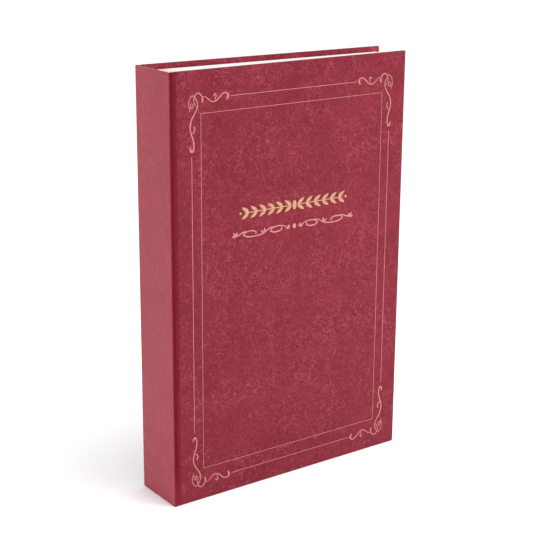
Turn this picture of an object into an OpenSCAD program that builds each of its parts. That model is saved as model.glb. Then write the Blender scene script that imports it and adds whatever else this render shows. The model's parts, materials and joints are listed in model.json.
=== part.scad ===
// Case-bound slip-in photo album for 10 x 15 cm prints, standing on its tail edge.
// +Z runs from tail to head, the spine faces -X, the fore-edge +X, the front cover -Y.
// The origin is the middle of the tail edge. Closed, both covers lean in towards the fore-edge.

/* [Case] */
// Height of the covers, tail to head
case_h = 330; // [300:1:360]
// Width over the spine and the front cover
case_w = 219; // [210:1:240]
// Thickness over the spine
case_t = 47; // [46:1:60]
// Lean of each closed cover towards the block, in degrees
cover_lean = 1.5; // [1.3:0.1:1.5]
// Thickness of the cover boards
board_t = 2.6; // [2.4:0.1:3]
// Thickness of the spine board
spine_board_t = 1.4; // [1.2:0.1:2.6]
// Thickness of the printed covering paper
paper_t = 0.4; // [0.3:0.05:0.5]
// Width of the turned-in covering paper on the inside of the boards
turn_in = 14; // [8:1:18]
// Width of the groove between a board and the spine
joint_gap = 3.2; // [3:0.1:8]
// Thickness of the flexible strip in the groove
joint_strip_t = 0.6; // [0.4:0.1:0.8]

/* [Leaves] */
// Number of pocket leaves, an even number
leaf_count = 40; // [20:2:40]
// How far the covers stand past the leaves at head and tail
square_h = 4; // [3:0.5:10]
// Distance from the spine's outer face to the leaves' crease
crease_x = 19; // [18:0.5:24]
// Distance between neighbouring leaves at the crease
crease_pitch = 0.93; // [0.9:0.01:0.93]
// Distance between neighbouring leaves at the fore-edge
edge_pitch = 0.66; // [0.64:0.01:0.66]
// Thickness of a leaf: a card between two films
leaf_t = 0.48; // [0.4:0.02:0.5]
// Thickness of a flyleaf
flyleaf_t = 0.25; // [0.2:0.05:0.3]
// Distance from a flyleaf to the leaf beside it
flyleaf_step = 0.6; // [0.55:0.01:0.6]
// How far a leaf's fore-edge lies inside the covers
fore_square = 5; // [4:0.5:8]
// Bare stretch between the crease and the stiff part of a leaf
crease_slack = 3; // [2.5:0.5:4]

/* [Binding] */
// Gap between the clamped margins and the crease
margin_back = 1.7; // [1.5:0.1:2.5]
// Thickness of the hot-melt glue behind the margins
glue_t = 1; // [0.6:0.1:1.5]

/* [Gilding] */
// Thickness of the stamped foil
foil_t = 0.08; // [0.05:0.01:0.1]
// Width of the outer rule
outer_rule = 1.1; // [0.8:0.1:1.5]
// Width of the inner rule
inner_rule = 0.8; // [0.5:0.1:1.2]
// Distance from the front board's spine side to the outer rule
frame_spine_margin = 13; // [9:1:16]
// Distance from the cover's fore-edge to the outer rule
frame_fore_margin = 15.5; // [14:0.5:22]
// Distance from the cover's head to the outer rule
frame_head_margin = 20.5; // [16:0.5:26]
// Distance from the cover's tail to the outer rule
frame_tail_margin = 15; // [12:1:24]
// Sideways distance between the outer and the inner rule
rule_gap_side = 8; // [7:0.5:12]
// Distance between the outer and the inner rule at head and tail
rule_gap_end = 10.5; // [8:0.5:14]
// Sideways reach of a corner scroll
scroll_w = 33; // [28:1:36]
// Upward reach of a corner scroll
scroll_h = 40; // [34:1:44]
// Width of the scrolls' strokes
scroll_stroke = 1; // [0.7:0.1:1.3]
// Height of the middle of the laurel band
laurel_z = 221; // [190:1:240]
// Length of the laurel band
laurel_w = 102; // [90:1:120]
// Height of the middle of the vine
vine_z = 204.5; // [180:0.5:210]
// Length of the vine
vine_w = 118; // [100:1:140]

/* [Hidden] */
$fn = 48;
cover_t = paper_t + board_t + paper_t;
spine_t = paper_t + spine_board_t + paper_t;
axis_stand_off = 0.4;
hinge_x = -case_w / 2 + spine_t + joint_gap / 2;
hinge_y = -case_t / 2 - axis_stand_off;
board_u = joint_gap / 2;
cover_l = (case_w / 2 - hinge_x + axis_stand_off * sin(cover_lean)) / cos(cover_lean);
joint_play = 0.3;

leaf_h = case_h - 2 * square_h;
pivot_x = -case_w / 2 + crease_x;
leaf_l = case_w / 2 - fore_square - pivot_x;
middle_leaf = (leaf_count + 1) / 2;
block_half_t = leaf_count / 2 * crease_pitch;
leaf_nodes = [for (i = [1 : leaf_count]) str("leaf_", i < 10 ? "0" : "", i)];

outer_u = [board_u + frame_spine_margin, cover_l - frame_fore_margin];
outer_z = [frame_tail_margin, case_h - frame_head_margin];
inner_u = [outer_u[0] + rule_gap_side, outer_u[1] - rule_gap_side];
inner_z = [outer_z[0] + rule_gap_end, outer_z[1] - rule_gap_end];
gild_u = (outer_u[0] + outer_u[1]) / 2;

// ---------- placing ----------

// Local frame of the front cover: X from the hinge axis to the fore-edge, Y inwards from the axis.
module on_front_cover() {
    translate([hinge_x, hinge_y, 0]) rotate([0, 0, cover_lean]) children();
}

module on_back_cover() {
    mirror([0, 1, 0]) on_front_cover() children();
}

// A box between two corners.
module span(low, high) {
    translate(low) cube(high - low);
}

// ---------- case ----------

// Greyboard of a cover, in the cover's local frame.
module cover_board() {
    y0 = axis_stand_off + paper_t;
    span([board_u + paper_t, y0, paper_t], [cover_l - paper_t, y0 + board_t, case_h - paper_t]);
}

// Covering paper: the outer face, the four edges and the turned-in border inside.
module cover_wrap() {
    y0 = axis_stand_off;
    difference() {
        span([board_u, y0, 0], [cover_l, y0 + cover_t, case_h]);
        cover_board();
        span([board_u + turn_in, y0 + cover_t - paper_t - 0.01, turn_in],
             [cover_l - turn_in, y0 + cover_t + 1, case_h - turn_in]);
    }
}

// Lining sheet pasted inside the turned-in border.
module cover_lining() {
    y0 = axis_stand_off + paper_t + board_t;
    span([board_u + turn_in, y0, turn_in], [cover_l - turn_in, y0 + paper_t, case_h - turn_in]);
}

// Flexible strip at the bottom of the groove, between the spine and the front cover.
module joint_strip() {
    y1 = -case_t / 2 + cover_t;
    span([-case_w / 2 + spine_t, y1 - joint_strip_t, 0],
         [hinge_x + board_u - joint_play, y1, case_h]);
}

module spine_board() {
    color("#b9ad98")
        span([-case_w / 2 + paper_t, -case_t / 2 + paper_t, paper_t],
             [-case_w / 2 + paper_t + spine_board_t, case_t / 2 - paper_t, case_h - paper_t]);
}

module spine_cover_paper() {
    color("#ad555d") difference() {
        span([-case_w / 2, -case_t / 2, 0], [-case_w / 2 + spine_t, case_t / 2, case_h]);
        spine_board();
        span([-case_w / 2 + spine_t - paper_t - 0.01, -case_t / 2 + cover_t, turn_in],
             [-case_w / 2 + spine_t + 1, case_t / 2 - cover_t, case_h - turn_in]);
    }
}

module spine_lining() {
    color("#e6e1d6")
        span([-case_w / 2 + spine_t - paper_t, -case_t / 2 + cover_t, turn_in],
             [-case_w / 2 + spine_t, case_t / 2 - cover_t, case_h - turn_in]);
}

module front_hinge() { color("#74202a") joint_strip(); }
module back_hinge() { color("#74202a") mirror([0, 1, 0]) joint_strip(); }

module front_board() { color("#b9ad98") on_front_cover() cover_board(); }
module front_cover_paper() { color("#9a3a48") on_front_cover() cover_wrap(); }
module front_lining() { color("#e6e1d6") on_front_cover() cover_lining(); }

module back_board() { color("#b9ad98") on_back_cover() cover_board(); }
module back_cover_paper() { color("#9a3a48") on_back_cover() cover_wrap(); }
module back_lining() { color("#e6e1d6") on_back_cover() cover_lining(); }

// ---------- binding ----------

module spine_glue() {
    x0 = -case_w / 2 + spine_t;
    color("#e9dfc2")
        span([x0, -block_half_t, turn_in], [x0 + glue_t, block_half_t, case_h - turn_in]);
}

// The leaves' margins with their spacer strips, clamped and glued into one block.
module margin_block() {
    x0 = -case_w / 2 + spine_t + glue_t;
    color("#f1efe9")
        span([x0, -block_half_t, square_h], [pivot_x - margin_back, block_half_t, case_h - square_h]);
}

// ---------- leaves ----------

// A sheet standing at crease_y, leaning so that its fore-edge is at edge_y.
module sheet(crease_y, edge_y, thickness) {
    lean = asin((edge_y - crease_y) / leaf_l);
    translate([pivot_x, crease_y, square_h]) rotate([0, 0, lean])
        span([crease_slack, -thickness / 2, 0], [leaf_l, thickness / 2, leaf_h]);
}

// Pocket leaf number i, counted from the front cover.
module leaf(i) {
    color("#f5f4f0")
        sheet((i - middle_leaf) * crease_pitch, (i - middle_leaf) * edge_pitch, leaf_t);
}

// Flyleaf beside the first leaf (side = -1) or beside the last leaf (side = 1).
module flyleaf(side) {
    outer = leaf_count / 2 - 0.5;
    color("#f0ede4")
        sheet(side * (outer * crease_pitch + flyleaf_step),
              side * (outer * edge_pitch + flyleaf_step), flyleaf_t);
}

module front_flyleaf() { flyleaf(-1); }
module back_flyleaf() { flyleaf(1); }

// ---------- gilding ----------

// Drawn flat, with X along the cover and Y up, then laid on the front cover's outer face.
module gild() {
    color("#d9a088") on_front_cover()
        translate([0, axis_stand_off, 0]) rotate([90, 0, 0]) linear_extrude(foil_t) children();
}

module rule_h(u0, u1, z, w) { translate([u0, z - w / 2]) square([u1 - u0, w]); }
module rule_v(z0, z1, u, w) { translate([u - w / 2, z0]) square([w, z1 - z0]); }

// Band of mean radius r between two angles that are less than 180 degrees apart.
module arc_band(r, a0, a1, w) {
    far = 3 * r;
    mid = (a0 + a1) / 2;
    intersection() {
        difference() {
            circle(r + w / 2);
            circle(r - w / 2);
        }
        polygon([[0, 0], far * [cos(a0), sin(a0)], far * [cos(mid), sin(mid)],
                 far * [cos(a1), sin(a1)]]);
    }
}

module ring(r, w) {
    difference() {
        circle(r + w / 2);
        circle(r - w / 2);
    }
}

// Pointed leaf of length l and width w, from the origin along X.
module pointed_leaf(l, w) {
    r = (l * l + w * w) / (4 * w);
    translate([l / 2, 0]) intersection() {
        translate([0, r - w / 2]) circle(r);
        translate([0, w / 2 - r]) circle(r);
    }
}

// One arm of a corner scroll, from the corner along X: a wave that ends in a curl.
module scroll_arm(reach) {
    loop_r = reach * 0.13;
    bow_r = reach * 0.3;
    translate([bow_r, -bow_r * 0.55]) arc_band(bow_r, 25, 150, scroll_stroke);
    translate([bow_r * 2.55, bow_r * 0.5]) arc_band(bow_r * 0.8, 215, 325, scroll_stroke);
    translate([reach - loop_r, loop_r * 0.4]) ring(loop_r * 0.6, scroll_stroke * 0.8);
}

module corner_scroll() {
    translate([1.5, -1.5]) ring(4.2, scroll_stroke);
    translate([3, -2]) scroll_arm(scroll_w - 3);
    mirror([1, 1]) translate([2, -3]) scroll_arm(scroll_h - 6);
}

module corner_scrolls() {
    for (side = [0, 1]) for (end = [0, 1])
        translate([outer_u[side], outer_z[end]])
            mirror([side, 0]) mirror([0, 1 - end]) corner_scroll();
}

module front_foil_border() {
    gild() union() {
        for (z = inner_z) rule_h(inner_u[0], inner_u[1], z, inner_rule);
        for (u = inner_u) rule_v(inner_z[0], inner_z[1], u, inner_rule);
        for (z = outer_z) rule_h(outer_u[0] + scroll_w + 1, outer_u[1] - scroll_w - 1, z, outer_rule);
        for (u = outer_u) rule_v(outer_z[0] + scroll_h + 1, outer_z[1] - scroll_h - 1, u, outer_rule);
        corner_scrolls();
    }
}

// Half of the laurel band: a stem with five pairs of leaves.
module laurel_half() {
    pairs = 5;
    step = laurel_w / 2 / (pairs + 0.6);
    translate([0, -0.3]) square([laurel_w / 2 - step * 0.4, 0.6]);
    for (i = [0 : pairs - 1]) for (side = [-1, 1])
        translate([step * (i + 0.5), 0]) rotate(side * 32) pointed_leaf(step * 0.95, 2.6);
}

// Half of the vine: two waves with a curl between them and a leaf at the tip.
module vine_half() {
    wave = vine_w / 8;
    translate([wave, -wave * 0.45]) arc_band(wave, 30, 150, scroll_stroke);
    translate([wave * 2.6, wave * 0.5]) arc_band(wave, 215, 325, scroll_stroke);
    translate([wave * 1.1, -wave * 0.1]) ring(wave * 0.3, scroll_stroke * 0.8);
    translate([wave * 3.3, -wave * 0.1]) pointed_leaf(wave * 0.7, 2);
}

module front_foil_ornament() {
    gild() {
        translate([gild_u, laurel_z]) {
            circle(2.2);
            for (side = [0, 1]) mirror([side, 0]) laurel_half();
        }
        translate([gild_u, vine_z]) {
            circle(1.6);
            for (side = [0, 1]) mirror([side, 0]) vine_half();
        }
    }
}

// ---------- assembly ----------

spine_board();
spine_cover_paper();
spine_lining();
spine_glue();
margin_block();
front_hinge();
back_hinge();
front_board();
front_cover_paper();
front_lining();
front_foil_border();
front_foil_ornament();
back_board();
back_cover_paper();
back_lining();
front_flyleaf();
back_flyleaf();
for (i = [1 : leaf_count])
    leaf(i);
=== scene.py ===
import json
import math

import bmesh
import bpy
import numpy as np
from mathutils import Matrix, Vector

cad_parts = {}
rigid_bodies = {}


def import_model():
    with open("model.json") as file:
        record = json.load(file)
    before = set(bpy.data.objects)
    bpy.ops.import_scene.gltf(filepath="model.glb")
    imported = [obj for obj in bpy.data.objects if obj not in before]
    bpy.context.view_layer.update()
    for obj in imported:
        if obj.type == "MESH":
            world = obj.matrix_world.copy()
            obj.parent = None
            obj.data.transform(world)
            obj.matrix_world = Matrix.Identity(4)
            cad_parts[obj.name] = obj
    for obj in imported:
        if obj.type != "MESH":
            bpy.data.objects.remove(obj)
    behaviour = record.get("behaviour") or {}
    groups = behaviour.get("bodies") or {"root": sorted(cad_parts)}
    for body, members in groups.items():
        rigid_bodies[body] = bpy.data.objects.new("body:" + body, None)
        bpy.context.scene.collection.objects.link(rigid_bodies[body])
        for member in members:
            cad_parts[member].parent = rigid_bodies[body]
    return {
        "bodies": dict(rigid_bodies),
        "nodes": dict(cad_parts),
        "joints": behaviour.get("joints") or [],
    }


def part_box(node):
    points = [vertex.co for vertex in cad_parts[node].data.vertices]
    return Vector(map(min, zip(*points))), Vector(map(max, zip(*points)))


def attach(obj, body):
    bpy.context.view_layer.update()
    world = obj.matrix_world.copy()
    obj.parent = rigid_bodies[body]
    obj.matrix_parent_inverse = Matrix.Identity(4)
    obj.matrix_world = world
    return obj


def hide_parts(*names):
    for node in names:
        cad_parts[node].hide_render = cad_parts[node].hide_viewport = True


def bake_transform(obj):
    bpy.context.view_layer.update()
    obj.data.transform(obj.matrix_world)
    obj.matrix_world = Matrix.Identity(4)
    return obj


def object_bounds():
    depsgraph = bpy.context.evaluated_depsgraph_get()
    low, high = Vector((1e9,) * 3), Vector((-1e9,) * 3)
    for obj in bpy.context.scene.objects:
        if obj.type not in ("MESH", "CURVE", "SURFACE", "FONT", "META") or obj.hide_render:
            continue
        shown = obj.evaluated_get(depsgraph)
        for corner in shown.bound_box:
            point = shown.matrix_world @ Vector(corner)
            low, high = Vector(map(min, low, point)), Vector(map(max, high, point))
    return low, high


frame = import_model()
cad_low, cad_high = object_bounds()

# Lengths are in millimetres up to the last step of each piece, where MM turns them into metres.
MM = 0.001
LEAN = math.radians(1.5)      # each closed cover leans in towards the fore-edge
COVER_T = 3.4                 # a board with its paper and lining
SPINE_T = 2.2                 # the thinner spine board with its paper and lining
STAND_OFF = 0.4               # from a cover's hinge axis to its outer face
JOINT_HALF = 1.6              # half the groove between spine and board
PAPER_LIFT = 0.25             # what a turned-in flap adds to the inner face
FADE_H = 34.0                 # the groove runs out over this height at the tail, and its painted shade fades with it
GROOVE_SHADE_FADE = (-0.7, 1.0)      # stretch over which the groove paper's painted shade gives way, where the paper rises to the board

case_l, case_t, case_h = ((high - low) / MM for low, high in zip(cad_low, cad_high))
joints = {joint["child"]: joint for joint in frame["joints"]}
hinge_x, hinge_y = (value / MM for value in joints["front_cover"]["pos_m"][:2])
pivot_x = joints["leaf_01"]["pos_m"][0] / MM
spine_x = -case_l / 2
leaf_names = sorted(name for name in frame["bodies"] if name.startswith("leaf_"))
cover_l = (case_l / 2 - hinge_x + STAND_OFF * math.sin(LEAN)) / math.cos(LEAN)


# ---------- places ----------

def on_front(u, v, z):
    """From the front cover's own frame (u from the hinge axis, v inwards) to the row frame."""
    x = hinge_x + u * math.cos(LEAN) - v * math.sin(LEAN)
    y = hinge_y + u * math.sin(LEAN) + v * math.cos(LEAN)
    return x, y, z


def on_back(u, v, z):
    """From the back cover's own frame, the mirror image of the front cover's, to the row frame."""
    x, y, z = on_front(u, v, z)
    return x, -y, z


def in_row(x, y, z):
    """For pieces whose points are in the row frame already."""
    return x, y, z


def on_spine(u, v, z):
    """From the spine's own frame (u across its width, v inwards) to the row frame."""
    return spine_x + v, u, z


# ---------- meshes ----------

def make_piece(name, verts, faces, place=in_row, sharp_from=35):
    """A mesh object in metres from points in a local frame, with its normals turned outwards.

    Each point's place in the local frame stays on the mesh as "rest", for the materials to use.
    Edges past sharp_from degrees are shaded sharp.
    """
    mesh = bpy.data.meshes.new(name)
    points = [tuple(value * MM for value in place(*point)) for point in verts]
    mesh.from_pydata(points, [], faces)
    rest = mesh.attributes.new("rest", "FLOAT_VECTOR", "POINT")
    rest.data.foreach_set("vector", (np.array(verts, np.float32) * MM).ravel())
    shaped = bmesh.new()
    shaped.from_mesh(mesh)
    bmesh.ops.recalc_face_normals(shaped, faces=shaped.faces)
    shaped.to_mesh(mesh)
    shaped.free()
    mesh.polygons.foreach_set("use_smooth", [True] * len(mesh.polygons))
    mesh.set_sharp_from_angle(angle=math.radians(sharp_from))
    piece = bpy.data.objects.new(name, mesh)
    bpy.context.scene.collection.objects.link(piece)
    return piece


def finish_piece(piece, material, body, nodes=()):
    """Give a piece its material and slot, the body it rides on and the CAD nodes it replaces."""
    piece.data.materials.append(material)
    if body:
        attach(piece, body)
    if nodes:
        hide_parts(*nodes)


def second_material(piece, material, first_face):
    """Give a piece's faces from first_face on a material of their own."""
    piece.data.materials.append(material)
    for k, polygon in enumerate(piece.data.polygons):
        polygon.material_index = 1 if k >= first_face else 0


def rounded_rectangle(x0, x1, z0, z1, radius, steps):
    """Outline of a rectangle with round corners, from its lower right corner on."""
    corners = [(x1 - radius, z0 + radius, -90), (x1 - radius, z1 - radius, 0),
               (x0 + radius, z1 - radius, 90), (x0 + radius, z0 + radius, 180)]
    points = []
    for cx, cz, first in corners:
        for k in range(steps + 1):
            angle = math.radians(first + 90 * k / steps)
            points.append((cx + radius * math.cos(angle), cz + radius * math.sin(angle)))
    return points


def loft(rings):
    """Faces between equal closed rings, with a cap on the first and on the last."""
    count = len(rings[0])
    verts = [point for ring in rings for point in ring]
    faces = []
    for r in range(len(rings) - 1):
        a, b = r * count, (r + 1) * count
        for k in range(count):
            n = (k + 1) % count
            faces.append((a + k, a + n, b + n, b + k))
    faces.append(tuple(range(count))[::-1])
    faces.append(tuple(range((len(rings) - 1) * count, len(rings) * count)))
    return verts, faces


def plate(x0, x1, z0, z1, y0, y1, corner, edge, steps=5, support=0.5):
    """A flat plate between y0 and y1 whose corners and rims are rounded."""
    def ring(inset, y):
        radius = max(corner - inset, 0.05)
        outline = rounded_rectangle(x0 + inset, x1 - inset, z0 + inset, z1 - inset, radius, steps)
        return [(x, y, z) for x, z in outline]

    turns = [math.pi / 2 * k / steps for k in range(steps + 1)]
    rings = [ring(edge + support, y0)]
    rings += [ring(edge * (1 - math.sin(a)), y0 + edge * (1 - math.cos(a))) for a in turns]
    rings += [ring(edge * (1 - math.cos(a)), y1 - edge * (1 - math.sin(a))) for a in turns]
    rings += [ring(edge + support, y1)]
    return loft(rings)


def ribbon(line_at, thickness, levels):
    """A standing sheet whose (x, y) points at a level are line_at(z), thickened to their left."""
    rings = []
    for z in levels:
        points = [Vector(point) for point in line_at(z)]
        last = len(points) - 1
        sides = []
        for k, point in enumerate(points):
            along = (points[min(k + 1, last)] - points[max(k - 1, 0)]).normalized()
            sides.append(point + Vector((-along.y, along.x)) * thickness)
        rings.append([(p.x, p.y, z) for p in (*points, *reversed(sides))])
    return loft(rings)


def merge(*parts):
    """One list of points and faces from several."""
    verts, faces = [], []
    for part_verts, part_faces in parts:
        start = len(verts)
        verts += part_verts
        faces += [tuple(i + start for i in face) for face in part_faces]
    return verts, faces


def prism(outline, y0, y1):
    """A flat outline of (x, z) points made into a plate between y0 and y1."""
    return loft([[(x, y, z) for x, z in outline] for y in (y0, y1)])


# ---------- materials ----------

class Shader:
    """Builds a node material. Values may be numbers, tuples or sockets."""

    def __init__(self, name):
        self.material = bpy.data.materials.new(name)
        self.material.use_nodes = True
        self.tree = self.material.node_tree
        self.surface = self.tree.nodes["Principled BSDF"]

    def node(self, kind, values, **settings):
        made = self.tree.nodes.new(kind)
        for key, value in settings.items():
            setattr(made, key, value)
        for key, value in values.items():
            self.put(made.inputs[key], value)
        return made

    def put(self, socket, value):
        if isinstance(value, bpy.types.NodeSocket):
            self.tree.links.new(value, socket)
        else:
            socket.default_value = value

    def set(self, **values):
        for key, value in values.items():
            self.put(self.surface.inputs[key.replace("_", " ")], value)

    def math(self, operation, a, b=0.0, c=0.0):
        return self.node("ShaderNodeMath", {0: a, 1: b, 2: c}, operation=operation).outputs[0]

    def shift(self, vector, offset, scale=(1, 1, 1)):
        values = {"Vector": vector, "Location": offset, "Scale": scale}
        return self.node("ShaderNodeMapping", values).outputs[0]

    def noise(self, vector, scale, detail=2.0, roughness=0.5, distortion=0.0):
        values = {"Vector": vector, "Scale": scale, "Detail": detail, "Roughness": roughness,
                  "Distortion": distortion}
        return self.node("ShaderNodeTexNoise", values).outputs["Fac"]

    def step(self, value, low, high, out_low=0.0, out_high=1.0):
        """A smooth rise from out_low at low to out_high at high. High may be under low."""
        values = {"Value": value, "From Min": low, "From Max": high,
                  "To Min": out_low, "To Max": out_high}
        made = self.node("ShaderNodeMapRange", values, interpolation_type="SMOOTHSTEP")
        return made.outputs["Result"]

    def mix(self, share, a, b):
        made = self.node("ShaderNodeMix", {}, data_type="RGBA")
        self.put(made.inputs[0], share)
        self.put(made.inputs[6], a)
        self.put(made.inputs[7], b)
        return made.outputs[2]

    def bump(self, height, distance, strength=1.0):
        values = {"Height": height, "Distance": distance, "Strength": strength}
        return self.node("ShaderNodeBump", values).outputs[0]

    def own_place(self):
        """The point's place in the piece's own flat frame, in metres."""
        return self.node("ShaderNodeAttribute", {}, attribute_name="rest").outputs["Vector"]

    def object_place(self):
        """The same for CAD nodes, which have no frame of their own."""
        return self.node("ShaderNodeTexCoord", {}).outputs["Object"]


# Scales are in waves per metre. A layer of fibres has a seed, a scale and a width.
FIBRE_LAYERS = ((1.0, 150, 0.012), (2.0, 210, 0.016), (3.0, 290, 0.021), (4.0, 380, 0.027))
CLOUD_SCALE = 22
BUSY_SCALE = 32
FLECK_SCALE = 620
GRAIN_SCALE = 1500


def fibres(shader, place, seed, scale, width):
    """Fine curly lines, where a smooth field crosses its middle value, in short lengths."""
    shifted = shader.shift(place, (seed * 1.7, seed * 0.9, seed * 2.3))
    field = shader.noise(shifted, scale, detail=1.0, distortion=0.6)
    off = shader.math("ABSOLUTE", shader.math("SUBTRACT", field, 0.5))
    line = shader.step(off, width, width * 0.3)
    patch = shader.step(shader.noise(shifted, scale * 0.8, detail=0.0), 0.48, 0.54)
    return shader.math("MULTIPLY", line, patch)


def fibre_paper(name, ground, fleck, fibre, strength, specular, roughness, unshaded_board_side=None):
    """Printed covering paper: a tangle of lighter fibres and dark flecks over a cloudy ground.

    unshaded_board_side, if given, makes the ground painted shade for paper in a groove: the colour
    goes from the ground to unshaded_board_side where the paper rises to the board and towards the
    tail.
    """
    shader = Shader(name)
    place = shader.own_place()
    if unshaded_board_side:
        # Painted shade: dark ground in the groove, lightening to unshaded_board_side at the board and
        # towards the shallow tail.
        split = shader.node("ShaderNodeSeparateXYZ", {"Vector": place}).outputs
        rise = shader.step(split["X"], GROOVE_SHADE_FADE[0] * MM, GROOVE_SHADE_FADE[1] * MM)
        tail = shader.step(split["Z"], 0.0, FADE_H * MM, 0.9, 0.0)
        ground = shader.mix(shader.math("MAXIMUM", rise, tail), ground, unshaded_board_side)
    tangle = 0.0
    for layer in FIBRE_LAYERS:
        tangle = shader.math("MAXIMUM", tangle, fibres(shader, place, *layer))
    busy = shader.noise(place, BUSY_SCALE, detail=2.0, roughness=0.6)
    busy = shader.step(busy, 0.38, 0.60, 0.45, 1.0)
    tangle = shader.math("MULTIPLY", tangle, busy)
    flecks = shader.noise(place, FLECK_SCALE, detail=1.0, roughness=0.6)
    flecks = shader.step(flecks, 0.54, 0.64)
    flecks = shader.math("MULTIPLY", flecks, busy)
    clouds = shader.noise(place, CLOUD_SCALE, detail=4.0, roughness=0.65)
    mottle = shader.step(clouds, 0.35, 0.65, 0.0, strength * 0.6)
    colour = shader.mix(mottle, ground, fleck)
    colour = shader.mix(shader.math("MULTIPLY", flecks, strength), colour, fleck)
    colour = shader.mix(shader.math("MULTIPLY", tangle, strength), colour, fibre)
    grain = shader.noise(place, GRAIN_SCALE, detail=3.0, roughness=0.6)
    height = shader.math("ADD", shader.math("MULTIPLY", tangle, 0.35), grain)
    shader.set(Base_Color=colour, Specular_IOR_Level=specular,
               Roughness=shader.step(grain, 0.3, 0.7, roughness - 0.06, roughness + 0.06),
               Normal=shader.bump(height, 0.00004, 0.6))
    return shader.material


def plain_paper(name, low, high, roughness, object_space=False):
    """Uncoated paper: faint clouds and a fine tooth. object_space is for CAD nodes."""
    shader = Shader(name)
    place = shader.object_place() if object_space else shader.own_place()
    cloud = shader.noise(place, 40, detail=4.0, roughness=0.6)
    tooth = shader.noise(place, 900, detail=3.0, roughness=0.65)
    share = shader.math("MULTIPLY_ADD", tooth, 0.75, shader.math("MULTIPLY", cloud, 0.25))
    shader.set(Base_Color=shader.mix(shader.step(share, 0.35, 0.65), low, high),
               Roughness=shader.step(tooth, 0.3, 0.7, roughness - 0.05, roughness + 0.05),
               Specular_IOR_Level=0.35, Normal=shader.bump(tooth, 0.00003, 0.5))
    return shader.material


def grey_board(name):
    """Grey board with layers along its edge and dark specks."""
    shader = Shader(name)
    place = shader.object_place()
    layers = shader.noise(shader.shift(place, (0, 0, 0), (1, 6, 1)), 300, detail=5.0, roughness=0.7)
    specks = shader.step(shader.noise(place, 1400, detail=2.0), 0.6, 0.7)
    colour = shader.mix(layers, (0.33, 0.29, 0.23, 1), (0.46, 0.41, 0.33, 1))
    colour = shader.mix(specks, colour, (0.16, 0.14, 0.12, 1))
    shader.set(Base_Color=colour, Roughness=0.9, Normal=shader.bump(layers, 0.0001, 0.6))
    return shader.material


def glue_material(name):
    """Yellowish hot-melt glue, lumpy and half glossy."""
    shader = Shader(name)
    place = shader.object_place()
    lumps = shader.noise(place, 260, detail=3.0)
    colour = shader.mix(lumps, (0.62, 0.52, 0.32, 1), (0.78, 0.70, 0.50, 1))
    shader.set(Base_Color=colour, Roughness=0.32, Coat_Weight=0.3,
               Normal=shader.bump(lumps, 0.0004, 0.7))
    return shader.material


def foil_material(name, worn, bright):
    """Stamped gilt foil with the paper's tooth showing through."""
    shader = Shader(name)
    place = shader.own_place()
    wear = shader.noise(place, 700, detail=3.0, roughness=0.7)
    colour = shader.mix(shader.step(wear, 0.35, 0.7), worn, bright)
    shader.set(Base_Color=colour, Metallic=0.75, Normal=shader.bump(wear, 0.00003, 0.5),
               Roughness=shader.step(wear, 0.3, 0.7, 0.34, 0.5))
    return shader.material


NOTES_END = 44.0              # column for notes between crease and pockets
NOTES_EDGES = (8.5, 41.1)     # from where to where its lines are ruled
LINE_PITCH = 8.5
WELD_GAP = 1.4                # half the strip between two pockets
SEAM_W = 1.2                  # welded seam along a pocket's edge


def leaf_card(name):
    """White card with faint ruled lines for notes beside the pockets."""
    shader = Shader(name)
    place = shader.own_place()
    split = shader.node("ShaderNodeSeparateXYZ", {"Vector": place}).outputs
    tooth = shader.noise(place, 1100, detail=3.0, roughness=0.6)
    first, last = (edge * MM for edge in NOTES_EDGES)
    soft = 0.1 * MM
    across = shader.math("MULTIPLY", shader.step(split["X"], first, first + soft),
                         shader.step(split["X"], last, last - soft))
    turn = shader.math("FRACT", shader.math("DIVIDE", split["Z"], LINE_PITCH * MM))
    line = shader.step(shader.math("ABSOLUTE", shader.math("SUBTRACT", turn, 0.5)), 0.024, 0.016)
    ruled = shader.math("MULTIPLY", shader.math("MULTIPLY", line, across), 0.75)
    colour = shader.mix(tooth, (0.63, 0.62, 0.605, 1), (0.70, 0.69, 0.675, 1))
    colour = shader.mix(ruled, colour, (0.36, 0.40, 0.48, 1))
    shader.set(Base_Color=colour, Roughness=0.62, Specular_IOR_Level=0.4,
               Normal=shader.bump(tooth, 0.00003, 0.4))
    return shader.material


def pocket_film(name, first_z, pitch, fore_s):
    """Clear film drawn tight over white card: glossy, with faint pulls and grey welded seams.

    The pockets follow each other from first_z on, a pitch apart, and all end at fore_s.
    """
    shader = Shader(name)
    place = shader.own_place()
    split = shader.node("ShaderNodeSeparateXYZ", {"Vector": place}).outputs
    turns = shader.math("DIVIDE", shader.math("SUBTRACT", split["Z"], first_z * MM), pitch * MM)
    from_weld = shader.math("PINGPONG", turns, 0.5)
    seam_end = WELD_GAP + SEAM_W
    seam = shader.math("MULTIPLY",
                       shader.step(from_weld, (seam_end + 0.3) / pitch, seam_end / pitch),
                       shader.step(from_weld, (WELD_GAP - 0.2) / pitch, WELD_GAP / pitch))
    fore_seam = shader.step(split["X"], (fore_s - 1.7) * MM, (fore_s - 1.4) * MM)
    seam = shader.math("MAXIMUM", seam, fore_seam)
    pulls = shader.noise(shader.shift(place, (0, 0, 0), (0.35, 1, 1)), 45, detail=2.0, distortion=0.6)
    tone = shader.step(pulls, 0.3, 0.7)
    colour = shader.mix(tone, (0.59, 0.605, 0.615, 1), (0.645, 0.658, 0.665, 1))
    colour = shader.mix(shader.math("MULTIPLY", seam, 0.6), colour, (0.36, 0.375, 0.39, 1))
    shader.set(Base_Color=colour, Roughness=0.18, Coat_Weight=0.5, Coat_Roughness=0.06,
               Normal=shader.bump(pulls, 0.0004, 0.2))
    return shader.material


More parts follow.
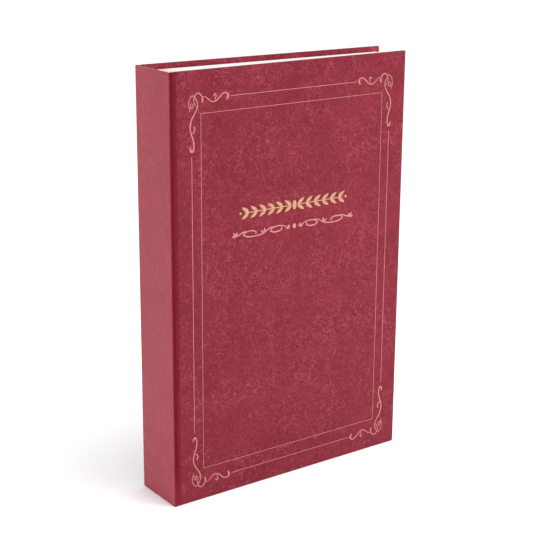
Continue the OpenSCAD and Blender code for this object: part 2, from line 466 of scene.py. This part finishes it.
cover_paper = fibre_paper("cover_fibre_paper", ground=(0.163, 0.0120, 0.0235, 1),
                          fleck=(0.109, 0.0048, 0.0112, 1), fibre=(0.300, 0.049, 0.077, 1),
                          strength=0.75, specular=0.14, roughness=0.55)
# Smooth spine paper whose lighter colour is partly painted light, standing in for light falling on
# the spine's side.
painted_light_spine_paper = fibre_paper("spine_smooth_paper", ground=(0.325, 0.0395, 0.0575, 1),
                          fleck=(0.245, 0.025, 0.038, 1), fibre=(0.39, 0.068, 0.092, 1),
                          strength=0.85, specular=0.2, roughness=0.45)
# Painted light: the same covering paper made lighter for the turned-in flaps, standing in for light
# on the covers' inner faces.
painted_light_turn_in_paper = fibre_paper("turned_in_paper", ground=(0.310, 0.0270, 0.0480, 1),
                           fleck=(0.215, 0.0120, 0.0250, 1), fibre=(0.470, 0.115, 0.150, 1),
                           strength=0.75, specular=0.14, roughness=0.55)
# Painted shade: the groove's paper is the covering paper made much darker, standing in for the shade
# that falls in the groove.
groove_shade_paper = fibre_paper("joint_fibre_paper", ground=(0.112, 0.0038, 0.0088, 1),
                          fleck=(0.095, 0.0026, 0.0070, 1), fibre=(0.150, 0.0095, 0.0155, 1),
                          strength=0.5, specular=0.06, roughness=0.6,
                          unshaded_board_side=(0.180, 0.0150, 0.0290, 1))
LINING_COLOURS = (0.60, 0.57, 0.50, 1), (0.68, 0.65, 0.58, 1)
lining_paper = plain_paper("lining_paper", *LINING_COLOURS, 0.8)
flyleaf_paper = plain_paper("flyleaf_paper", (0.64, 0.62, 0.56, 1), (0.71, 0.69, 0.64, 1), 0.75)
spacer_card = plain_paper("spacer_card", (0.54, 0.53, 0.50, 1), (0.64, 0.63, 0.60, 1), 0.8)
node_lining = plain_paper("node_lining", *LINING_COLOURS, 0.8, object_space=True)
board_material = grey_board("grey_board")
glue = glue_material("hot_melt_glue")
rose_foil = foil_material("rose_gilt_foil", worn=(0.45, 0.172, 0.158, 1),
                          bright=(0.57, 0.252, 0.232, 1))
gold_foil = foil_material("gold_gilt_foil", worn=(0.43, 0.23, 0.13, 1),
                          bright=(0.52, 0.31, 0.19, 1))
card = leaf_card("leaf_card")


# ---------- case ----------

WRAP_EDGE = 0.9               # how round the covering paper goes over a board's edge
WRAP_CORNER = 0.9
SPINE_EDGE = 0.7
SPINE_CORNER = 1.6
FLAP_W = 14.0                 # turned-in paper inside a cover
FLAP_RIM = 0.7                # from the board's edge to where its flap begins
SPINE_FLAP_INSET = 3.5        # from the spine's long edges to its flaps
PASTEDOWN_BORDER = 9.0        # from the lining to the board's edges
FLAP_SINK = 0.05              # how far a flap reaches into the paper under it
INNER = STAND_OFF + COVER_T   # a cover's inner face, in its own frame


def turned_in_flaps(u0, u1, v0, v1):
    """Flaps of covering paper inside a cover: head, tail and fore-edge, mitred at the corners."""
    rim, gap = FLAP_RIM, 0.25
    inner_u = u1 - FLAP_W
    head = [(u0 + rim, case_h - rim), (u0 + rim, case_h - FLAP_W),
            (inner_u, case_h - FLAP_W), (u1 - rim - gap, case_h - rim)]
    tail = [(u, case_h - z) for u, z in head]
    fore = [(inner_u + gap, FLAP_W + gap), (u1 - rim, rim + gap),
            (u1 - rim, case_h - rim - gap), (inner_u + gap, case_h - FLAP_W - gap)]
    return [prism(outline, v0, v1) for outline in (head, tail, fore)]


def make_cover(side, place):
    """A cover's board wrapped in paper with turned-in flaps, and the lining pasted over them."""
    body = side + "_cover"
    body_face = INNER - PAPER_LIFT
    wrap = plate(JOINT_HALF, cover_l, 0, case_h, STAND_OFF, body_face, WRAP_CORNER, WRAP_EDGE)
    flaps = turned_in_flaps(JOINT_HALF, cover_l, body_face - FLAP_SINK, INNER)
    verts, faces = merge(wrap, *flaps)
    piece = make_piece(side + "_cover_wrap", verts, faces, place)
    finish_piece(piece, cover_paper, body, [side + "_cover_paper"])
    # The turned-in flaps take the lightened paper: painted light.
    second_material(piece, painted_light_turn_in_paper, len(wrap[1]))

    border = PASTEDOWN_BORDER
    verts, faces = plate(JOINT_HALF + 1.2, cover_l - border, border, case_h - border,
                         body_face, INNER + 0.08, 0.5, 0.04, steps=2)
    piece = make_piece(side + "_pastedown", verts, faces, place)
    finish_piece(piece, lining_paper, body, [side + "_lining"])


def make_spine():
    """The spine board wrapped in smooth paper, with a flap turned in at head and tail."""
    inner = SPINE_T - PAPER_LIFT
    shell = plate(-case_t / 2, case_t / 2, 0, case_h, 0, inner, SPINE_CORNER, SPINE_EDGE)
    half = case_t / 2 - SPINE_FLAP_INSET
    flaps = []
    for z0 in (FLAP_RIM, case_h - FLAP_W):
        z1 = z0 + FLAP_W - FLAP_RIM
        outline = [(-half, z0), (half, z0), (half, z1), (-half, z1)]
        flaps.append(prism(outline, inner - FLAP_SINK, SPINE_T))
    verts, faces = merge(shell, *flaps)
    piece = make_piece("spine_wrap", verts, faces, on_spine)
    # The spine paper's extra lightness is partly painted light.
    finish_piece(piece, painted_light_spine_paper, "spine_binding", ["spine_cover_paper"])


def blend_in(piece, place, u_start, u_end, v):
    """Work out where a piece of the joint would bend from the spine to the cover, between two u
    values, but leave it unbent: only its placement is baked into its mesh.
    """
    start, end = (Vector(place(u, v, case_h / 2)) * MM for u in (u_start, u_end))
    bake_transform(piece)


GROOVE_DEPTH = 1.1
TAIL_DEPTH = 0.25             # what is left of the groove's depth at the tail
GROOVE_PAPER_T = 0.8
INNER_JOINT_T = 0.16


def groove_line(z):
    """Section of the groove at a height: round the spine's edge, down, and up to the board."""
    share = min(1, z / FADE_H)
    depth = TAIL_DEPTH + (GROOVE_DEPTH - TAIL_DEPTH) * share * share * (3 - 2 * share)
    outer, steps = STAND_OFF - 0.04, 20
    line = [(0.45 - JOINT_HALF - SPINE_T, STAND_OFF + 0.02), (0.8 - JOINT_HALF - SPINE_T, outer),
            (-JOINT_HALF - 0.6, outer)]
    start, end = -JOINT_HALF - 0.2, JOINT_HALF + 0.9
    for k in range(steps + 1):
        t = k / steps
        rim = 0.2 * (1 - t) - 0.03 * t
        line.append((start + (end - start) * t,
                     STAND_OFF + rim + depth * math.sin(math.pi * t ** 0.6) ** 0.9))
    return line


def make_joint(side, place):
    """The covering paper in the groove, and the lining's inner joint behind it."""
    levels = [0.1, 3, 7, 12, 18, 25, FADE_H, 90, 160, 240, case_h - 0.1]
    verts, faces = ribbon(groove_line, GROOVE_PAPER_T, levels)
    piece = make_piece(side + "_groove_paper", verts, faces, place)
    # The groove paper's dark colour is painted shade.
    finish_piece(piece, groove_shade_paper, None, [side + "_hinge"])
    blend_in(piece, place, -JOINT_HALF, JOINT_HALF, INNER)

    first, last = (-0.3, INNER + 0.62), (4.6, INNER + 0.03)
    steps = 16
    line = []
    for k in range(steps + 1):
        t = k / steps
        ease = t * t * (3 - 2 * t)
        line.append((first[0] + (last[0] - first[0]) * t, first[1] + (last[1] - first[1]) * ease))
    levels = [PASTEDOWN_BORDER, case_h / 2, case_h - PASTEDOWN_BORDER]
    verts, faces = ribbon(lambda z: line, INNER_JOINT_T, levels)
    piece = make_piece(side + "_inner_joint", verts, faces, place)
    finish_piece(piece, lining_paper, None)
    blend_in(piece, place, first[0] + 0.4, last[0] - 0.8, INNER)


# ---------- block ----------

block_x0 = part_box("margin_block")[0].x / MM
MARGIN_END = pivot_x - 1.7
STIFF_FROM = 3.0              # from the crease
CARD_HALF = 0.19
FILM_TOP = 0.235
CREASE_HALF = 0.08
BEND_END = 8.0                # from the crease to the end of a sheet's bend, which is worked out but not used
BEND_Z = 100                  # level at which the bend's two ends are given
WELD_HALF = 1.2
leaf_low, leaf_high = (corner.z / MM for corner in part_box("leaf_01"))
fore_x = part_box("leaf_20")[1].x / MM
leaf_l = fore_x - pivot_x
END_MARGIN = 0.5              # from a leaf's head and tail to its pockets' welds
POCKETS = 3
pocket_pitch = (leaf_high - leaf_low - 2 * END_MARGIN) / POCKETS
film_start, film_end = NOTES_END + 2, leaf_l - 4
film = pocket_film("pocket_film", leaf_low + END_MARGIN, pocket_pitch, film_end)


def sheet_frame(name):
    """A sheet's place at its crease, and the step from its flat frame to the row frame.

    In the flat frame s runs from the crease to the fore-edge and n across the sheet.
    """
    crease_y = joints[name]["pos_m"][1] / MM
    low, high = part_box(name)
    far_y = (low.y + high.y) / MM - crease_y
    lean = math.asin((far_y - crease_y) / (leaf_l + STIFF_FROM))

    def place(s, n, z):
        if s <= 0:
            return pivot_x + s, crease_y + n, z
        return (pivot_x + s * math.cos(lean) - n * math.sin(lean),
                crease_y + s * math.sin(lean) + n * math.cos(lean), z)
    return crease_y, place


def blend_sheet(piece, place):
    """Work out where a sheet would bend from its clamped margin to the stretch past its crease, but
    leave it unbent: only its placement is baked into its mesh.
    """
    start = Vector(place(MARGIN_END - pivot_x, 0, BEND_Z)) * MM
    end = Vector(place(BEND_END, 0, BEND_Z)) * MM
    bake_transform(piece)


def sheet_body(half, crease_half, length, z0, z1):
    """A sheet's card from the block's back to its fore-edge, thinner at the scored crease."""
    stops = [block_x0 - pivot_x, MARGIN_END - pivot_x, -1.2, -0.6, 0, 0.6, 1.2, 1.8, 2.4, 3, 3.8,
             4.6, 5.5, 6.5, 7.5, 9, 12, length * 0.35, length * 0.6, length * 0.85,
             length - 0.15, length]
    rings = []
    for s in stops:
        scored = -1.3 < s < STIFF_FROM - 0.5
        n = crease_half if scored else half
        if s == length:
            n = half * 0.6
        rings.append([(s, -n, z0 + 0.1), (s, -n * 0.5, z0), (s, n * 0.5, z0), (s, n, z0 + 0.1),
                      (s, n, z1 - 0.1), (s, n * 0.5, z1), (s, -n * 0.5, z1), (s, -n, z1 - 0.1)])
    return loft(rings)


def pocket(z0, z1, face):
    """Film of one pocket, with a thumb notch in its open side. face is 1 or -1."""
    notch, steps = 8.0, 12
    middle = (z0 + z1) / 2
    outline = [(film_start, z0), (film_end, z0), (film_end, z1), (film_start, z1)]
    for k in range(steps + 1):
        angle = math.radians(90 - 180 * k / steps)
        outline.append((film_start + notch * math.cos(angle), middle + notch * math.sin(angle)))
    base, top = face * (CARD_HALF - 0.01), face * FILM_TOP
    return prism(outline, base, top)


def weld(z, face):
    """Welded band between two pockets: film pressed down on the card."""
    z0, z1 = z - WELD_HALF, z + WELD_HALF
    outline = [(film_start, z0), (film_end, z0), (film_end, z1), (film_start, z1)]
    return prism(outline, face * (CARD_HALF - 0.01), face * (CARD_HALF + 0.03))


def make_leaf(name):
    """A card with three film pockets on each side. Returns its crease's place."""
    crease_y, place = sheet_frame(name)
    body_part = sheet_body(CARD_HALF, CREASE_HALF, leaf_l, leaf_low, leaf_high)
    films = []
    for face in (-1, 1):
        for k in range(POCKETS):
            z0 = leaf_low + END_MARGIN + pocket_pitch * k
            films.append(pocket(z0 + WELD_GAP, z0 + pocket_pitch - WELD_GAP, face))
            if k:
                films.append(weld(z0, face))
    verts, faces = merge(body_part, *films)
    piece = make_piece("pocket_" + name, verts, faces, place)
    finish_piece(piece, card, None, [name])
    second_material(piece, film, len(body_part[1]))
    blend_sheet(piece, place)
    return crease_y


def make_flyleaf(side):
    """The plain sheet between a cover and the pocket leaves."""
    name = side + "_flyleaf"
    place = sheet_frame(name)[1]
    verts, faces = sheet_body(0.11, 0.07, leaf_l, leaf_low, leaf_high)
    piece = make_piece(side + "_endleaf", verts, faces, place)
    finish_piece(piece, flyleaf_paper, None, [name])
    blend_sheet(piece, place)


def make_spacers(crease_ys):
    """Strips of card between the leaves' margins."""
    step = crease_ys[1] - crease_ys[0]
    half = step / 2 - CARD_HALF - 0.03
    parts = []
    for k in range(len(crease_ys) - 1):
        middle = (crease_ys[k] + crease_ys[k + 1]) / 2
        drop = 0.25 + 0.2 * math.sin(k * 2.4)
        parts.append(plate(block_x0, MARGIN_END - 0.1, leaf_low + drop, leaf_high - drop,
                           middle - half, middle + half, 0.1, 0.05, steps=1, support=0.1))
    verts, faces = merge(*parts)
    piece = make_piece("margin_spacers", verts, faces)
    finish_piece(piece, spacer_card, "spine_binding", ["margin_block"])


# ---------- gilding ----------

FOIL_BASE, FOIL_TOP = STAND_OFF + 0.03, STAND_OFF - 0.07
OUTER_U = (JOINT_HALF + 13, cover_l - 15.5)
OUTER_Z = (15.0, case_h - 20.5)
RULE_GAP_SIDE, RULE_GAP_END = 8.0, 10.5
SCROLL_W, SCROLL_H = 34.0, 41.0
GILD_U = sum(OUTER_U) / 2
BAND_Z, BAND_W = 221.0, 102.0
VINE_Z = 204.5


def curve_through(points, steps=8):
    """A smooth line through a few points (Catmull-Rom)."""
    ends = [points[0], *points, points[-1]]
    line = []
    for k in range(1, len(ends) - 2):
        p0, p1, p2, p3 = (Vector(p) for p in ends[k - 1:k + 3])
        for j in range(steps):
            t = j / steps
            line.append(0.5 * ((2 * p1) + (p2 - p0) * t + (2 * p0 - 5 * p1 + 4 * p2 - p3) * t * t
                               + (3 * p1 - p0 - 3 * p2 + p3) * t ** 3))
    return [*line, Vector(points[-1])]


def stroke(line, width, taper=0.35, drop=0.0):
    """Foil along a line of (u, z) points, thin at its start, with a drop of foil at its end."""
    line = [Vector(point) for point in line]
    left, right = [], []
    count = len(line) - 1
    for k, point in enumerate(line):
        along = (line[min(k + 1, count)] - line[max(k - 1, 0)]).normalized()
        across = Vector((-along.y, along.x))
        t = k / count
        half = width / 2 * (taper + (1 - taper) * math.sin(math.pi * min(1, t * 1.25) / 2 + 0.15))
        if drop and t > 0.8:
            half += (drop - width) / 2 * math.sin(math.pi * (t - 0.8) / 0.2) ** 2
        left.append(point + across * half)
        right.append(point - across * half)
    verts, faces = [], []
    for pair in zip(left, right):
        verts += [(p.x, FOIL_TOP, p.y) for p in pair] + [(p.x, FOIL_BASE, p.y) for p in pair]
    for k in range(count):
        a, b = 4 * k, 4 * k + 4
        faces += [(a, a + 1, b + 1, b), (a + 2, b + 2, b + 3, a + 3),
                  (a, b, b + 2, a + 2), (a + 1, a + 3, b + 3, b + 1)]
    faces += [(0, 2, 3, 1), (4 * count, 4 * count + 1, 4 * count + 3, 4 * count + 2)]
    return verts, faces


def closed_shape(outline):
    """Foil that fills an outline of (u, z) points."""
    return prism([(p[0], p[1]) for p in outline], FOIL_TOP, FOIL_BASE)


def moved(line, origin, flip_u, flip_z):
    """A line shifted to an origin, mirrored where a flip is -1."""
    return [(origin[0] + flip_u * p[0], origin[1] + flip_z * p[1]) for p in line]


def corner_scroll(origin, flip_u, flip_z):
    """A corner of the frame, drawn for the head's spine corner: u to the right, z up."""
    strokes = [
        ([(-0.9, -8.4), (-2.2, -4.6), (-1.6, 0.0), (1.1, 2.7), (3.3, 1.0), (5.1, -2.5), (5.3, -5.3),
          (3.3, -9.5), (0.4, -13.8), (-1.1, -19.0), (-0.4, -24.0), (1.5, -29.2), (2.0, -34.2),
          (0.7, -37.2), (-0.9, -36.4), (-1.1, -34.2)], 0.95, 1.4),
        ([(4.6, -5.3), (2.6, -2.9), (2.3, 0.3), (3.6, 3.2), (6.2, 4.2), (8.5, 2.5), (9.6, -0.2),
          (9.1, -2.9)], 0.9, 1.5),
        ([(9.6, 1.0), (11.9, 1.2), (14.6, -0.8), (17.9, -2.9), (21.5, -2.3), (24.5, 0.3),
          (27.2, 2.3), (29.9, 2.6), (31.6, 0.6), (30.4, -2.4)], 0.95, 1.7),
        ([(20.4, -2.2), (20.7, -0.4), (21.2, 1.3), (20.3, 2.5), (19.1, 1.2)], 0.85, 1.1),
        ([(-0.4, -24.3), (1.8, -23.6), (2.8, -21.2), (2.0, -19.1)], 0.85, 1.2),
        ([(-1.1, -7.2), (-0.9, -4.4), (0.2, -2.8), (1.5, -3.8), (1.4, -5.6), (0.2, -5.9),
          (-0.2, -4.8)], 0.7, 0.0),
    ]
    made = []
    for points, width, drop in strokes:
        line = curve_through(moved(points, origin, flip_u, flip_z))
        made.append(stroke(line, width, drop=drop))
    return made


def rule(start, end, width):
    """A straight stroke."""
    steps = 24
    run, rise = end[0] - start[0], end[1] - start[1]
    line = [(start[0] + run * k / steps, start[1] + rise * k / steps) for k in range(steps + 1)]
    return stroke(line, width, taper=1.0)


def frame_foil():
    """Two rectangles of rules, the outer one with a scroll in place of each corner."""
    u0, u1 = OUTER_U
    z0, z1 = OUTER_Z
    outer, inner = 0.42, 0.36
    parts = []
    for z in OUTER_Z:
        parts.append(rule((u0 + SCROLL_W, z), (u1 - SCROLL_W, z), outer))
    for u in OUTER_U:
        parts.append(rule((u, z0 + SCROLL_H), (u, z1 - SCROLL_H), outer))
    v0, v1 = u0 + RULE_GAP_SIDE, u1 - RULE_GAP_SIDE
    w0, w1 = z0 + RULE_GAP_END, z1 - RULE_GAP_END
    half = inner / 2
    for z in (w0, w1):
        parts.append(rule((v0 - half, z), (v1 + half, z), inner))
    for u in (v0, v1):
        parts.append(rule((u, w0 + half), (u, w1 - half), inner))
    for u, flip_u in ((u0, 1), (u1, -1)):
        for z, flip_z in ((z0, -1), (z1, 1)):
            parts += corner_scroll((u, z), flip_u, flip_z)
    return merge(*parts)


def pointed_leaf(base, angle, length, width):
    """Outline of a leaf from its base along an angle in degrees, with a pointed tip."""
    along = Vector((math.cos(math.radians(angle)), math.sin(math.radians(angle))))
    across = Vector((-along.y, along.x))
    steps = 8
    edge = []
    for k in range(steps + 1):
        t = k / steps
        half = width / 2 * math.sin(math.pi * t ** 0.8) ** 0.9
        edge.append((Vector(base) + along * length * t, half))
    outline = [p + across * h for p, h in edge] + [p - across * h for p, h in reversed(edge[1:-1])]
    return closed_shape(outline)


def disc(centre, radius, stretch=1.0):
    """A round dot of foil, or an upright oval."""
    steps = 20
    outline = []
    for k in range(steps):
        a = 2 * math.pi * k / steps
        outline.append((centre[0] + radius * math.cos(a), centre[1] + radius * stretch * math.sin(a)))
    return closed_shape(outline)


def laurel_band():
    """Band of leaves on a stem, mirrored about an oval in the middle."""
    parts = [disc((GILD_U, BAND_Z), 1.9, 1.9)]
    pairs = 6
    step = (BAND_W / 2 - 3.5) / pairs
    for side in (-1, 1):
        stem = [(GILD_U + side * (3.4 + (BAND_W / 2 - 8) * k / 24), BAND_Z) for k in range(25)]
        parts.append(stroke(stem, 0.8, taper=0.8))
        for k in range(pairs):
            base = (GILD_U + side * (3.0 + step * k), BAND_Z)
            for lift in (-1, 1):
                tilt = 34 * lift
                angle = tilt if side > 0 else 180 - tilt
                start = (base[0], base[1] + lift * 0.35)
                parts.append(pointed_leaf(start, angle, step * 0.98, 2.6))
        parts.append(disc((GILD_U + side * (BAND_W / 2 - 1.0), BAND_Z), 1.0))
    return parts


def vine():
    """Stem with two open eyes on each side, leaves between them and a spray at each end."""
    parts = [disc((GILD_U, VINE_Z), 1.5, 1.25)]
    stems = [
        [(4.8, -1.2), (8.0, 0.6), (11.9, 2.0), (16.6, 2.3), (20.9, 1.2), (22.4, -0.4), (19.5, -1.9),
         (15.2, -2.0), (12.0, -0.8), (12.2, 0.9)],
        [(18.0, 2.2), (22.8, 1.9), (26.1, 0.2), (29.5, -1.5), (34.2, -2.2), (40.4, -2.4),
         (45.1, -1.5), (47.3, 0.2), (44.7, 1.8), (39.9, 2.1), (36.1, 0.9), (36.3, -0.8)],
        [(42.3, 2.2), (47.5, 2.0), (51.3, 0.4), (54.2, -0.2)],
    ]
    leaves = [((4.4, -1.0), 60, 3.2), ((5.1, -1.2), 14, 3.2), ((27.6, -0.6), 78, 3.4),
              ((28.5, -1.2), 38, 3.8), ((53.7, -0.6), 96, 3.6), ((54.2, -0.4), 52, 4.2),
              ((54.2, -0.6), 8, 4.0)]
    for side in (-1, 1):
        for stem in stems:
            line = curve_through([(GILD_U + side * u, VINE_Z + z) for u, z in stem])
            parts.append(stroke(line, 0.95, taper=0.6))
        for (u, z), angle, length in leaves:
            turned = angle if side > 0 else 180 - angle
            parts.append(pointed_leaf((GILD_U + side * u, VINE_Z + z), turned, length, 1.5))
    return parts


def make_gilding():
    """The stamped frame, and the laurel band with the vine under it."""
    verts, faces = frame_foil()
    piece = make_piece("gilt_frame", verts, faces, on_front, sharp_from=20)
    finish_piece(piece, rose_foil, "front_cover", ["front_foil_border"])
    laurel = merge(*laurel_band())
    verts, faces = merge(laurel, *vine())
    piece = make_piece("gilt_laurel_and_vine", verts, faces, on_front, sharp_from=20)
    finish_piece(piece, gold_foil, "front_cover", ["front_foil_ornament"])
    second_material(piece, rose_foil, len(laurel[1]))


# ---------- room ----------

CAMERA_LENS = 89.6
CAMERA_PLACE = (-0.5929, -0.8398, 0.4668)
CAMERA_AZIMUTH, CAMERA_ELEVATION, CAMERA_ROLL = -35.15, 16.60, 0.45
BOOK_MIDDLE = (0, 0, 0.16)
FLOOR_HALF = 12.0
WORLD_STRENGTH = 1.07
# Place, target, diameter in metres and watts of each lamp
KEY = ((0.6, -0.8, 2.2), BOOK_MIDDLE, 1.4, 26)
LOW_FRONT = ((0.4, -0.6, 0.15), (0.06, 0, 0.10), 0.4, 2.7)
FILL = ((-1.6, -0.6, 0.9), BOOK_MIDDLE, 1.2, 1.5)


def make_camera():
    """The camera looks down its own -Z axis, turned by azimuth, elevation and roll."""
    data = bpy.data.cameras.new("camera")
    data.lens = CAMERA_LENS
    data.sensor_width = 36
    data.clip_start, data.clip_end = 0.05, 50
    camera = bpy.data.objects.new("camera", data)
    bpy.context.scene.collection.objects.link(camera)
    angles = (CAMERA_AZIMUTH, CAMERA_ELEVATION, CAMERA_ROLL)
    azimuth, elevation, roll = (math.radians(angle) for angle in angles)
    back = Vector((math.sin(azimuth) * math.cos(elevation),
                   -math.cos(azimuth) * math.cos(elevation), math.sin(elevation)))
    right = (-back).cross(Vector((0, 0, 1))).normalized()
    up = back.cross(right)
    tilted_right = right * math.cos(roll) + up * math.sin(roll)
    tilted_up = up * math.cos(roll) - right * math.sin(roll)
    turn = Matrix((tilted_right, tilted_up, back)).transposed()
    camera.matrix_world = Matrix.Translation(CAMERA_PLACE) @ turn.to_4x4()
    bpy.context.scene.camera = camera


def make_light(name, place, target, size, power):
    """A round white lamp that faces its target."""
    data = bpy.data.lights.new(name, "AREA")
    data.shape = "DISK"
    data.size = size
    data.energy = power
    light = bpy.data.objects.new(name, data)
    light.location = place
    light.rotation_euler = (Vector(target) - Vector(place)).to_track_quat("-Z", "Y").to_euler()
    bpy.context.scene.collection.objects.link(light)
    return light


def make_floor():
    """A plain pale floor."""
    shader = Shader("pale_floor")
    cloud = shader.noise(shader.object_place(), 3, detail=2.0)
    colour = shader.mix(cloud, (0.93, 0.93, 0.93, 1), (0.95, 0.95, 0.95, 1))
    shader.set(Base_Color=colour, Roughness=0.9, Specular_IOR_Level=0.1)
    half = FLOOR_HALF
    mesh = bpy.data.meshes.new("floor")
    mesh.from_pydata([(-half, -half, 0), (half, -half, 0), (half, half, 0), (-half, half, 0)], [],
                     [(0, 1, 2, 3)])
    floor = bpy.data.objects.new("floor", mesh)
    floor.data.materials.append(shader.material)
    bpy.context.scene.collection.objects.link(floor)


def make_studio():
    """An even white surround with three soft lamps. The low one adds no gloss."""
    world = bpy.data.worlds.new("studio")
    bpy.context.scene.world = world
    world.use_nodes = True
    background = world.node_tree.nodes["Background"]
    background.inputs["Color"].default_value = (1, 1, 1, 1)
    background.inputs["Strength"].default_value = WORLD_STRENGTH
    make_light("key", *KEY)
    low_front = make_light("low front", *LOW_FRONT)
    low_front.visible_glossy = False
    make_light("fill", *FILL)
    bpy.context.scene.view_settings.view_transform = "Standard"


# ---------- assembly ----------

def dress_cad_nodes():
    """Materials for the CAD nodes that no piece replaces."""
    dressed = {"spine_board": board_material, "front_board": board_material,
               "back_board": board_material, "spine_lining": node_lining, "spine_glue": glue}
    for node_name, material in dressed.items():
        materials = frame["nodes"][node_name].data.materials
        materials.clear()
        materials.append(material)


make_camera()
make_spine()
for cover_side, cover_place in (("front", on_front), ("back", on_back)):
    make_cover(cover_side, cover_place)
    make_joint(cover_side, cover_place)
    make_flyleaf(cover_side)
make_spacers([make_leaf(leaf_name) for leaf_name in leaf_names])
make_gilding()
dress_cad_nodes()
make_floor()
make_studio()
